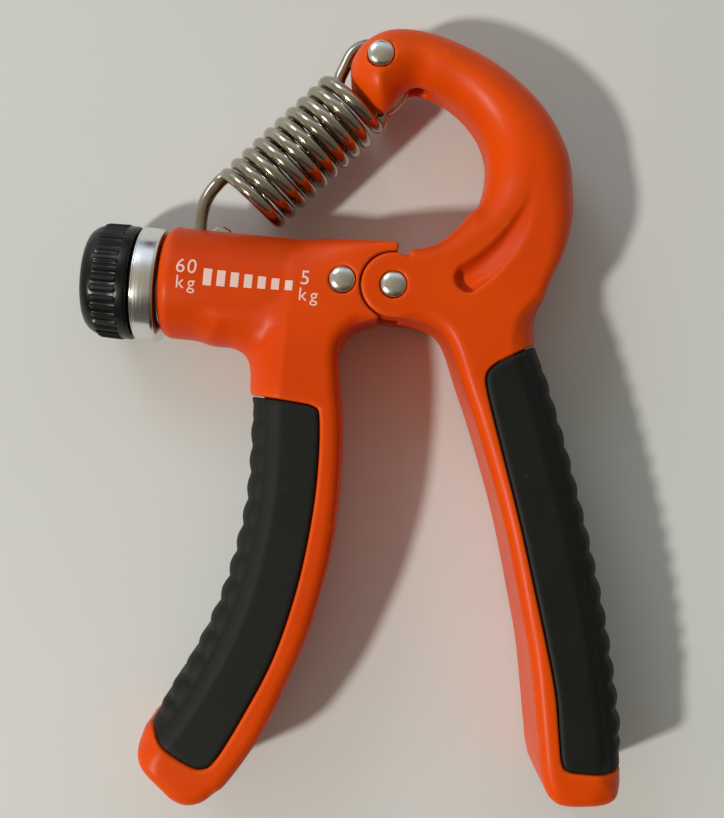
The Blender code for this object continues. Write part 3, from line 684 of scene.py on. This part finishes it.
def metal(name, dark, light, rough, scratch, spots, stretch=(900.0, 900.0, 900.0)):
    """Plated or bare metal: tone variation, fine scratches, dull spots."""
    n = Nodes(name)
    set_inputs(n.shader, Metallic=1.0)
    tone = n.noise(scale=120.0, distortion=0.3)
    col = n.mix(n.ramp(tone, at=(0.3, 0.7)), dark, light)
    if spots:
        mask = n.ramp(n.noise(scale=700.0, rough=0.7), at=(0.60, 0.72))
        col = n.tint(col, mask, amount=spots, colour=tuple(c * 0.35 for c in dark))
    n.feed("Base Color", col)
    fine = n.noise(scale=1.0, detail=3.0, rough=0.5, stretch=stretch)
    n.feed("Roughness", n.ramp(fine, at=(0.3, 0.7), grey=(rough - scratch, rough + scratch)))
    n.bump(dict(height=fine, strength=0.10, distance=0.00003))
    return n.material


def nylon():
    n = Nodes("white_nylon")
    n.feed("Base Color", n.mix(n.noise(scale=300.0),
                               low=(0.62, 0.60, 0.52), high=(0.74, 0.73, 0.67)))
    set_inputs(n.shader, Roughness=0.45, Subsurface_Weight=0.25,
               Subsurface_Radius=(0.001, 0.001, 0.0008), Subsurface_Scale=1.0)
    n.bump(dict(height=n.noise(scale=1500.0), strength=0.15, distance=0.00004))
    return n.material


def ink():
    n = Nodes("print_ink")
    worn = n.ramp(n.noise(scale=2200.0, rough=0.7), at=(0.58, 0.70))
    n.feed("Base Color", n.tint((0.86, 0.60, 0.53), worn, amount=0.35,
                                colour=(0.80, 0.30, 0.18)))
    set_inputs(n.shader, Roughness=0.5)
    n.bump(dict(height=n.noise(scale=2600.0), strength=0.2, distance=0.00003))
    return n.material


MATERIALS = {
    "orange": orange_plastic(),
    "rubber": rubber(),
    "black": black_plastic("black_plastic", rough=(0.22, 0.36)),
    "cap": black_plastic("black_plastic_cap", rough=(0.14, 0.26)),
    "spring": metal("nickel_spring_wire", dark=(0.37, 0.32, 0.255), light=(0.50, 0.45, 0.375),
                    rough=0.15, scratch=0.05, spots=0.25),
    "rivet": metal("rivet_steel", dark=(0.70, 0.68, 0.61), light=(0.80, 0.78, 0.72),
                   rough=0.22, scratch=0.08, spots=0.2),
    "alu": metal("turned_aluminium", dark=(0.78, 0.78, 0.76), light=(0.88, 0.88, 0.87),
                 rough=0.20, scratch=0.07, spots=0.0, stretch=(2600.0, 60.0, 60.0)),
    "zinc": metal("zinc_plated_steel", dark=(0.42, 0.43, 0.44), light=(0.60, 0.60, 0.58),
                  rough=0.36, scratch=0.10, spots=0.3),
    "screw": metal("machined_steel", dark=(0.50, 0.50, 0.49), light=(0.62, 0.62, 0.60),
                   rough=0.26, scratch=0.08, spots=0.2, stretch=(3000.0, 90.0, 90.0)),
    "nylon": nylon(),
    "ink": ink(),
}


def finish_piece(piece, body, material, node=None):
    """Gives a piece its material, the body it rides on and the node it replaces."""
    piece.data.materials.clear()
    piece.data.materials.append(MATERIALS[material])
    if body:
        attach(piece, body)
    if node:
        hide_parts(node)


# ---------------------------------------------------------- handles and pads
# name, field, low and high corner of its box, body, material, slot, replaced node
for name, shape, lo, hi, body, material, slot, node in (
        ("left_handle_shell", left_handle, (-47.6, -106.9, -13.2), (1.4, 10.0, 13.2),
         "fixed_handle", "orange", "orange_plastic", "left_handle"),
        ("left_grip_rubber", left_pad, (-42.0, -98.6, -13.2), (-9.8, -22.6, 13.2),
         "fixed_handle", "rubber", "rubber", "left_grip_pad"),
        ("right_handle_shell", right_handle, (-14.2, -99.6, -13.2), (56.4, 54.4, 13.2),
         "moving_handle", "orange", "orange_plastic", "right_handle"),
        ("right_grip_rubber", right_pad, (18.4, -92.6, -13.2), (57.6, -7.6, 13.2),
         "moving_handle", "rubber", "rubber", "right_grip_pad")):
    piece = mesh_object(name, *surface(shape, lo, hi, VOXEL))
    finish_piece(piece, body, material, node)

# ------------------------------------------------------------- turned pieces
KNOB_RIBS = 38


def rib_height(angle):
    part = (angle * KNOB_RIBS / math.tau) % 1.0
    return 0.42 * math.exp(-(min(part, 1 - part) / 0.17) ** 2)


def lathe(name, profile, segments, centre, axis):
    """A closed turned solid. profile: (radius, height) stations along `axis`, with
    a rib weight as a third value on ribbed parts. A profile that doesn't start and
    end on the axis is joined up into a ring."""
    axis = Vector(axis)
    side = Vector((0, 0, 1)) if abs(axis.z) < 0.5 else Vector((1, 0, 0))
    across = axis.cross(side).normalized()
    square = axis.cross(across)
    points, faces, rings = [], [], []
    for radius, height, *weight in profile:
        base = Vector(centre) + axis * height
        if not radius:
            rings.append([len(points)])
            points.append(tuple(base))
            continue
        ring = []
        for i in range(segments):
            angle = math.tau * i / segments
            reach = radius + (rib_height(angle) * weight[0] if weight else 0.0)
            ring.append(len(points))
            points.append(tuple(
                base + (across * math.cos(angle) + square * math.sin(angle)) * reach))
        rings.append(ring)
    hollow = len(rings[0]) > 1 and len(rings[-1]) > 1
    for a, b in zip(rings, rings[1:] + rings[:1] if hollow else rings[1:]):
        for i in range(segments):
            j = (i + 1) % segments
            if len(a) == 1:
                faces.append((a[0], b[i], b[j]))
            elif len(b) == 1:
                faces.append((a[i], b[0], a[j]))
            else:
                faces.append((a[i], b[i], b[j], a[j]))
    piece = mesh_object(name, points, faces)
    face_outward(piece)
    piece.data.set_sharp_from_angle(angle=math.radians(38))
    return piece


def rounded(stations, radius, steps=3):
    """Softens the corners of a turned profile."""
    out = [stations[0]]
    for a, b, c in zip(stations, stations[1:], stations[2:]):
        to_a = (a[0] - b[0], a[1] - b[1])
        to_c = (c[0] - b[0], c[1] - b[1])
        len_a, len_c = math.hypot(*to_a), math.hypot(*to_c)
        cut = min(radius, len_a * 0.4, len_c * 0.4)
        start = (b[0] + to_a[0] / len_a * cut, b[1] + to_a[1] / len_a * cut)
        end = (b[0] + to_c[0] / len_c * cut, b[1] + to_c[1] / len_c * cut)
        for i in range(steps + 1):
            t = i / steps
            out.append(tuple((1 - t) ** 2 * start[k] + 2 * t * (1 - t) * b[k] + t * t * end[k]
                             for k in (0, 1)))
    out.append(stations[-1])
    return out


def rivet(name, centre, back, front, body, node):
    """A pin with a dished back end and a low dome on the front."""
    head_r, dome_z, dome_steps = PIN_R + 0.04, front - 0.12, 14
    profile = rounded([(0.0, back + 0.25), (1.0, back + 0.25), (1.5, back),
                       (PIN_R - 0.35, back), (PIN_R, back + 0.35), (PIN_R, front - 0.55),
                       (PIN_R - 0.12, front - 0.3), (head_r, dome_z)], 0.12)
    for i in range(1, dome_steps + 1):
        angle = math.radians(90 * i / dome_steps)
        profile.append((head_r * math.cos(angle) ** 0.92 if i < dome_steps else 0.0,
                        dome_z + 0.95 * math.sin(angle) ** 1.1))
    piece = lathe(name, profile, 48, (*centre, 0.0), (0, 0, 1))
    finish_piece(piece, body, "rivet", node)


rivet("pivot_rivet_head", (0.0, 0.0), -HALF, HALF, "fixed_handle", "pivot_rivet")
rivet("link_rivet_head", LINK_RIVET, -HALF + 0.2, HALF, "fixed_handle", "link_rivet")
rivet("anchor_rivet_head", ANCHOR, -ARM_HALF + 0.1, ARM_HALF + 0.1, "moving_handle",
      "anchor_rivet")


def adjuster_lathe(name, profile, segments):
    """Turned about the adjuster's axis; heights run along -X."""
    return lathe(name, profile, segments, (0, ADJUSTER_Y, 0), (-1, 0, 0))


# knob, from its far end towards the hinge: rounded end, fine ribs, plain rim
knob = rounded([(3.6, 59.6), (8.35, 59.6), (8.35, 61.35), (8.75, 61.62), (9.35, 61.55),
                (10.0, 61.15), (10.5, 60.6), (10.9, 59.9), (11.1, 59.3)], 0.3)
for i in range(8):
    t = i / 7
    knob.append((11.12 + 0.1 * t, 59.2 - 0.6 * t, float(step(0.0, 1.0, t))))
knob += [(11.26, 58.0, 1.0), (11.32, 56.0, 1.0), (11.36, 54.4, 1.0)]
for i in range(1, 6):
    t = i / 5
    knob.append((11.37 + 0.14 * t, 54.4 - 0.5 * t, 1.0 - float(step(0.0, 1.0, t))))
knob += rounded([(11.55, 53.6), (11.58, 52.4), (11.2, 51.95), (7.9, 51.9), (7.9, 53.0),
                 (5.0, 53.0), (5.0, 53.6), (3.6, 53.6)], 0.2)
finish_piece(adjuster_lathe("knob_shell", knob, KNOB_RIBS * 10),
             "adjuster", "black", "knob")

cap = [(0.0, 61.1), (8.0, 61.1), (8.0, 61.75), (7.6, 62.0), (7.2, 61.95), (6.9, 61.85),
       (6.4, 62.05), (5.0, 62.35), (3.0, 62.55), (0.0, 62.6)]
finish_piece(adjuster_lathe("knob_cap", rounded(cap, 0.25), 96),
             "adjuster", "cap", "knob_end_cap")

# collar: turned ring with a fine groove and broken edges
collar = [(4.9, 51.55), (11.05, 51.55), (11.6, 51.1), (11.6, 50.9), (11.52, 50.8),
          (11.6, 50.7), (11.6, 47.3), (11.3, 46.75), (8.1, 46.75), (8.1, 44.6), (4.9, 44.6)]
finish_piece(adjuster_lathe("collar_turned", rounded(collar, 0.12), 128),
             "fixed_handle", "alu", "collar_ring")

# --------------------------------------------------------------------- spring
WIRE_R, WIRE_EXTRA, WIRE_SEGMENTS = 1.3, 0.06, 20      # hook and coil are thicker
WIRE_END = ((0.55, 0.42), (0.82, 0.3), (0.96, 0.14))   # radius scale, reach past the end
HOOK_CENTRE, HOOK_R = (-37.3, 6.0), 3.1
HOOK_SHANK = ((-40.5, 9.0, 0), (-40.45, 12.0, 0), (-40.0, 14.6, -0.1), (-39.1, 16.8, -0.25),
              (-38.0, 18.4, -0.3), (-37.2, 19.4, -0.15))   # x, y, z from hook to coil
COIL_R, COIL_PITCH, COIL_TURNS = 7.0, 3.05, 9.5
COIL_ANGLE = math.radians(48.5)
LOOP_R, LOOP_OFFSET = 7.1, 3.0
SPLINE_STEPS = 4

coil_start = Vector((-30.9, 15.6, 0))
coil_axis = Vector((math.cos(COIL_ANGLE), math.sin(COIL_ANGLE), 0))
coil_side = Vector((-math.sin(COIL_ANGLE), math.cos(COIL_ANGLE), 0))
up = Vector((0, 0, 1))
hook_pin, anchor = Vector((-37.1, 6.2, 0)), Vector((*ANCHOR, 0))
pull = (anchor - hook_pin).normalized()
loop_centre = anchor - pull * LOOP_OFFSET


def helix(turn):
    angle = math.tau * turn
    return (coil_start + coil_axis * COIL_PITCH * turn
            + (coil_side * math.cos(angle) + up * math.sin(angle)) * COIL_R)


def spline3(points):
    """Cubic through the points, its tangents eased by the root of the spacing."""
    out = []
    for i in range(len(points) - 1):
        p0, p1, p2 = points[max(i - 1, 0)], points[i], points[i + 1]
        p3 = points[min(i + 2, len(points) - 1)]
        gap0, gap1, gap2 = [max((b - a).length, 1e-6) ** 0.5
                            for a, b in ((p0, p1), (p1, p2), (p2, p3))]
        tangent1 = (p2 - p0) / (gap0 + gap1) * gap1 if i else (p2 - p1)
        tangent2 = (p3 - p1) / (gap1 + gap2) * gap1 if i + 2 < len(points) else (p2 - p1)
        for s in range(SPLINE_STEPS):
            t = s / SPLINE_STEPS
            out.append(p1 * (2 * t**3 - 3 * t**2 + 1) + tangent1 * (t**3 - 2 * t**2 + t)
                       + p2 * (-2 * t**3 + 3 * t**2) + tangent2 * (t**3 - t**2))
    out.append(points[-1])
    return out


hook_points = [Vector((*polar(a, HOOK_R, HOOK_CENTRE), 0)) for a in range(45, -181, -15)]
hook_points += [Vector(point) for point in HOOK_SHANK]
coil_points = [helix(i / 16.0) for i in range(int(COIL_TURNS * 16) - 2)]
top_points = [helix(COIL_TURNS - 0.10) + coil_axis * 0.15,
              helix(COIL_TURNS) + coil_axis * 0.9 + up * 0.5]
for degrees in range(-62, 206, 12):
    lift = 0.3 * max(0.0, (-degrees - 15) / 60.0)
    radius = LOOP_R - 1.3 * math.exp(-((degrees - 160) / 34.0) ** 2)
    top_points.append(loop_centre + Vector((*polar(degrees, radius), lift)))
wire = spline3(hook_points + coil_points + top_points)
coil_from = len(hook_points) * SPLINE_STEPS + 2
top_from = (len(hook_points) + len(coil_points)) * SPLINE_STEPS + 3


def sweep(name, radius, first, last):
    """Round wire along wire[first:last + 1]; frames are carried along the whole path."""
    end = len(wire) - 1
    tangents = [(wire[min(i + 1, end)] - wire[max(i - 1, 0)]).normalized()
                for i in range(len(wire))]
    normal = tangents[0].orthogonal().normalized()
    frames = []
    for tangent in tangents:
        normal = (normal - tangent * normal.dot(tangent)).normalized()
        frames.append((normal.copy(), tangent.cross(normal)))
    # stations: index on the path, radius scale, push along the path
    stations = [(i, 1.0, 0.0) for i in range(first, last + 1)]
    if first == 0:
        stations = [(0, scale, -reach) for scale, reach in WIRE_END] + stations
    if last == end:
        stations += [(last, scale, reach) for scale, reach in WIRE_END[::-1]]
    points, faces, count = [], [], WIRE_SEGMENTS
    for i, scale, push in stations:
        across, square = frames[i]
        for k in range(count):
            angle = math.tau * k / count
            points.append(tuple(
                wire[i] + tangents[i] * push
                + (across * math.cos(angle) + square * math.sin(angle)) * radius * scale))
    for i in range(len(stations) - 1):
        for k in range(count):
            j = (k + 1) % count
            faces.append((i * count + k, i * count + j,
                          (i + 1) * count + j, (i + 1) * count + k))
    faces.append(tuple(range(count))[::-1])
    faces.append(tuple((len(stations) - 1) * count + k for k in range(count)))
    piece = mesh_object(name, points, faces)
    face_outward(piece)
    return piece


# name, first and last path point, two bodies, a start and an end, node
for name, first, last, body0, body1, start, end, node in (
        ("spring_hook_wire", 0, coil_from, "spring_lower", "spring_middle", 1.0, 10.2,
         "spring_lower_hook"),
        ("spring_coil_wire", coil_from, top_from, "spring_middle", "spring_upper", 13.0, 39.0,
         "spring_coil")):
    piece = sweep(name, WIRE_R + WIRE_EXTRA, first, last)
    finish_piece(piece, None, "spring")
    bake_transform(piece)
    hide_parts(node)
finish_piece(sweep("spring_top_wire", WIRE_R, top_from, len(wire) - 1),
             "spring_upper", "spring", "spring_top_hook")


# ----------------------------------------------------------------- the print
def flat_curve(kind):
    curve = bpy.data.curves.new("print", kind)
    if kind == "CURVE":
        curve.dimensions = "2D"
    curve.fill_mode = "BOTH"
    curve.extrude = 0.045
    return curve


def take_mesh(curve, centre=None):
    """The curve's mesh, moved to a centre if one is given."""
    obj = add_object("print", curve)
    bpy.context.view_layer.update()
    graph = bpy.context.evaluated_depsgraph_get()
    mesh = bpy.data.meshes.new_from_object(obj.evaluated_get(graph))
    bpy.data.objects.remove(obj)
    if centre is not None:
        place = np.array([v.co for v in mesh.vertices], float)
        middle = (place[:, :2].min(0) + place[:, :2].max(0)) / 2
        place[:, :2] += np.array(centre) - middle
        mesh.vertices.foreach_set("co", place.astype(np.float32).ravel())
    mesh.update()
    return mesh


def conform(name, mesh):
    """Cuts a flat print into small cells and lays it on the barrel's front."""
    bm = bmesh.new()
    bm.from_mesh(mesh)
    for axis, cut, end, spacing in ((1, -6.5, 2.0, 0.45), (0, -44.0, -12.0, 1.1)):
        while cut < end:
            point, normal = [0.0, 0.0, 0.0], [0.0, 0.0, 0.0]
            point[axis], normal[axis] = cut, 1.0
            bmesh.ops.bisect_plane(bm, geom=bm.verts[:] + bm.edges[:] + bm.faces[:],
                                   dist=1e-5, plane_co=point, plane_no=normal)
            cut += spacing
    bmesh.ops.remove_doubles(bm, verts=bm.verts, dist=1e-4)
    bm.to_mesh(mesh)
    bm.free()
    place = np.array([v.co for v in mesh.vertices], float)
    z = np.full(len(place), 12.0)
    for _ in range(14):
        z = z - left_skin(place[:, 0], place[:, 1], z)
    place[:, 2] = (z + place[:, 2] + MID) * MM
    place[:, :2] *= MM
    mesh.vertices.foreach_set("co", place.astype(np.float32).ravel())
    mesh.update()
    finish_piece(add_object(name, mesh), "fixed_handle", "ink")


# name, text, size, centre, letter spacing
for name, text, size, centre, spacing in (
        ("scale_60", "60", 4.0, (-40.45, -0.25), 1.12),
        ("scale_kg_high", "kg", 3.6, (-40.3, -3.85), 1.35),
        ("scale_5", "5", 4.0, (-17.2, -0.35), 1.0),
        ("scale_kg_low", "kg", 3.6, (-16.2, -4.0), 1.35)):
    curve = flat_curve("FONT")
    curve.body = text
    curve.size = size
    curve.space_character = spacing
    curve.resolution_u = 6
    conform(name, take_mesh(curve, centre))

# seven bars that shrink towards the hinge
curve = flat_curve("CURVE")
for i in range(7):
    t = i / 6
    x, y = -36.15 + 15.93 * t, -2.05 - 0.1 * t
    width, height = 1.65 - 0.15 * t, 3.3 - 1.35 * t
    bar_line = curve.splines.new("POLY")
    bar_line.points.add(3)
    for point, (dx, dy) in zip(bar_line.points, ((-1, -1), (1, -1), (1, 1), (-1, 1))):
        point.co = (x + dx * width / 2, y + dy * height / 2, 0.0, 1.0)
    bar_line.use_cyclic_u = True
conform("scale_bars", take_mesh(curve))

# ------------------------------------------------- carried-over metal and nylon
for node, material in (
        ("hinge_link", "zinc"), ("pivot_washer_front", "nylon"), ("pivot_washer_back", "nylon"),
        ("adjusting_screw", "screw"), ("screw_tip_bush", "nylon"), ("thrust_washer", "nylon"),
        ("retaining_clip", "zinc"), ("knob_screw", "zinc"), ("spring_carriage", "rivet"),
        ("hook_pin", "rivet")):
    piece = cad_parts[node]
    if not piece.material_slots:
        piece.data.materials.append(None)
    for slot in piece.material_slots:
        slot.link = "OBJECT"
        slot.material = MATERIALS[material]


# ------------------------------------------- table, light and camera, in metres
def table():
    bm = bmesh.new()
    bmesh.ops.create_grid(bm, x_segments=1, y_segments=1, size=3.0)
    mesh = bpy.data.meshes.new("floor")
    bm.to_mesh(mesh)
    bm.free()
    floor = add_object("floor", mesh)
    floor.location = (0, 0, -0.0002)
    n = Nodes("pale_table")
    cloud = n.noise(scale=9.0, detail=5.0, rough=0.55)
    n.feed("Base Color", n.mix(cloud, low=(0.645, 0.655, 0.635), high=(0.69, 0.70, 0.685)))
    set_inputs(n.shader, Roughness=0.55, Specular_IOR_Level=0.25)
    n.bump(dict(height=n.noise(scale=700.0), strength=0.10, distance=0.0001))
    mesh.materials.append(n.material)
    floor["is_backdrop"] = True


# the room's colour from -Y to +Y: position, colour
ROOM_STOPS = [
    (0.0, (0.16, 0.15, 0.13)), (0.10, (0.10, 0.09, 0.075)), (0.22, (0.16, 0.14, 0.11)),
    (0.33, (0.44, 0.39, 0.29)), (0.62, (0.50, 0.46, 0.36)), (0.76, (0.62, 0.62, 0.56)),
    (0.86, (1.05, 1.15, 1.25)), (0.95, (1.05, 1.15, 1.25)), (0.985, (0.10, 0.10, 0.11)),
    (1.0, (0.25, 0.26, 0.28))]


def room():
    """A world with colour bands across Y, brighter towards -X."""
    world = bpy.data.worlds.new("room")
    bpy.context.scene.world = world
    world.use_nodes = True
    nodes, link = world.node_tree.nodes, world.node_tree.links.new
    background = nodes["Background"]
    coords = nodes.new("ShaderNodeTexCoord")
    axes = nodes.new("ShaderNodeSeparateXYZ")
    link(coords.outputs["Generated"], axes.inputs["Vector"])
    ramp = nodes.new("ShaderNodeValToRGB")
    stops = ramp.color_ramp.elements
    while len(stops) < len(ROOM_STOPS):
        stops.new(0.5)
    for stop, (position, colour) in zip(stops, ROOM_STOPS):
        stop.position, stop.color = position, (*colour, 1.0)

    def from_axis(axis, low, high):
        node = nodes.new("ShaderNodeMapRange")
        set_inputs(node, From_Min=-1.0, From_Max=1.0, To_Min=low, To_Max=high)
        link(axes.outputs[axis], node.inputs["Value"])
        return node.outputs["Result"]

    link(from_axis("Y", low=0.0, high=1.0), ramp.inputs["Fac"])
    side = from_axis("X", low=1.5, high=0.55)
    strength = nodes.new("ShaderNodeMath")
    strength.operation = "MULTIPLY"
    strength.inputs[1].default_value = 0.62     # overall brightness
    link(side, strength.inputs[0])
    link(ramp.outputs["Color"], background.inputs["Color"])
    link(strength.outputs[0], background.inputs["Strength"])


def area_light(name, direction, distance, size, power, color):
    light = bpy.data.lights.new(name, "AREA")
    light.shape = "DISK"
    light.size = size
    light.energy = power
    light.color = color
    toward = Vector(direction).normalized()
    obj = bpy.data.objects.new(name, light)
    obj.location = Vector((0.0, -0.025, 0.01)) + toward * distance
    obj.rotation_euler = (-toward).to_track_quat("-Z", "Y").to_euler()
    bpy.context.scene.collection.objects.link(obj)


table()
room()
area_light("key", direction=(-0.852, -0.536, 1.0), distance=1.6, size=0.13, power=16.5,
           color=(1.0, 0.965, 0.90))
area_light("window", direction=(-0.75, 0.85, 0.75), distance=1.3, size=0.5, power=2.6,
           color=(0.80, 0.90, 1.0))

lens = bpy.data.cameras.new("camera")
lens.lens, lens.sensor_width = 44.01, 36.0
lens.clip_start, lens.clip_end = 0.01, 20.0
camera = add_object("camera", lens)
camera.location = (-0.0037, -0.0247, 0.2180)
camera.rotation_euler = (0.0, 0.0, math.radians(5.6))
bpy.context.scene.camera = camera
bpy.context.scene.view_settings.view_transform = "Standard"

lo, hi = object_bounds()
